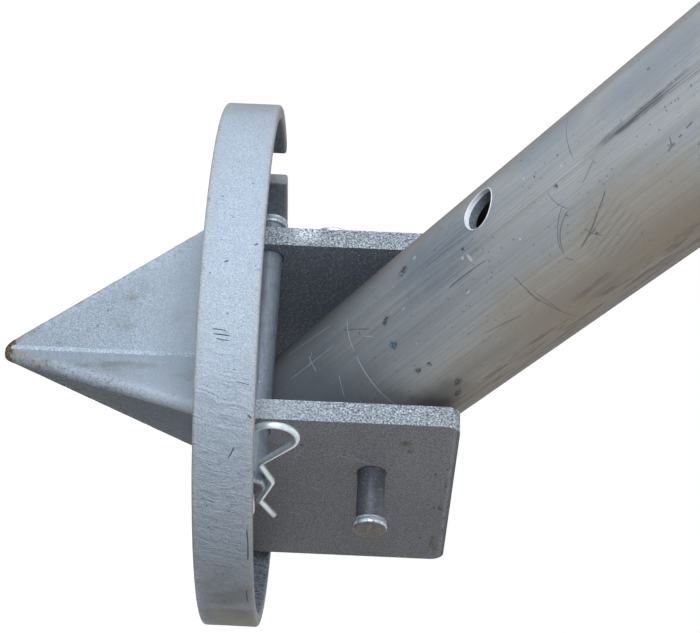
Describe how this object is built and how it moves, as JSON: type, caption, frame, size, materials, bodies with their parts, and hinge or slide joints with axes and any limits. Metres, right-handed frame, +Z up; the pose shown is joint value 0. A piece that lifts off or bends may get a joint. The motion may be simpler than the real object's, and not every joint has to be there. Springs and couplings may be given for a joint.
{
  "type": "tripod crane leg foot",
  "caption": "Swivelling spiked ground foot of a tripod crane leg, with its pivot pin, stop pin, spring clips and the lower end of the telescopic leg tube.",
  "frame": {"origin": "on the foot axis, in the plane of the rim's lower edge", "axes": "+Z up the foot axis, away from the spike; +X to the side that the leg leans to; the pins run along Y"},
  "size_m": [0.598, 0.2897, 0.5172],
  "materials": {
    "foot_steel": "blasted and zinc-grey steel, matt",
    "weld_metal": "blasted weld bead",
    "pin_steel": "dark drawn steel",
    "zinc_wire": "bright zinc-plated spring wire",
    "leg_aluminium": "mill-finish extruded tube, worn",
    "inner_aluminium": "mill-finish extruded tube"
  },
  "bodies": {
    "leg": {"leg_tube": "leg_aluminium"},
    "leg_inner": {"inner_tube": "inner_aluminium"},
    "foot": {"ground_rim": "foot_steel", "base_disc": "foot_steel", "spike_blade_front": "foot_steel", "spike_blade_back": "foot_steel", "spike_blade_far": "foot_steel", "near_ear": "foot_steel", "far_ear": "foot_steel", "rim_weld": "weld_metal", "near_ear_weld": "weld_metal", "far_ear_weld": "weld_metal", "blade_valley_welds": "weld_metal", "blade_base_welds": "weld_metal"},
    "pivot_pin_set": {"pivot_pin": "pin_steel", "pivot_pin_clip": "zinc_wire"},
    "stop_pin_set": {"stop_pin": "pin_steel", "stop_pin_clip": "zinc_wire"}
  },
  "joints": [
    {"name": "foot_swivel", "type": "hinge", "parent": "leg", "child": "foot", "pos_m": [-0.0075, 0, 0.088], "axis": [0, 1, 0], "range_deg": [-36.5, 45.5]},
    {"name": "pivot_pin_slide", "type": "slide", "parent": "foot", "child": "pivot_pin_set", "axis": [0, 1, 0], "range_m": [-0.029, 0.001]},
    {"name": "stop_pin_slide", "type": "slide", "parent": "foot", "child": "stop_pin_set", "axis": [0, 1, 0], "range_m": [-0.026, 0.0075]},
    {"name": "leg_telescope", "type": "slide", "parent": "leg", "child": "leg_inner", "axis": [0.848, 0, 0.5299], "range_m": [-0.1, 0.15]}
  ]
}
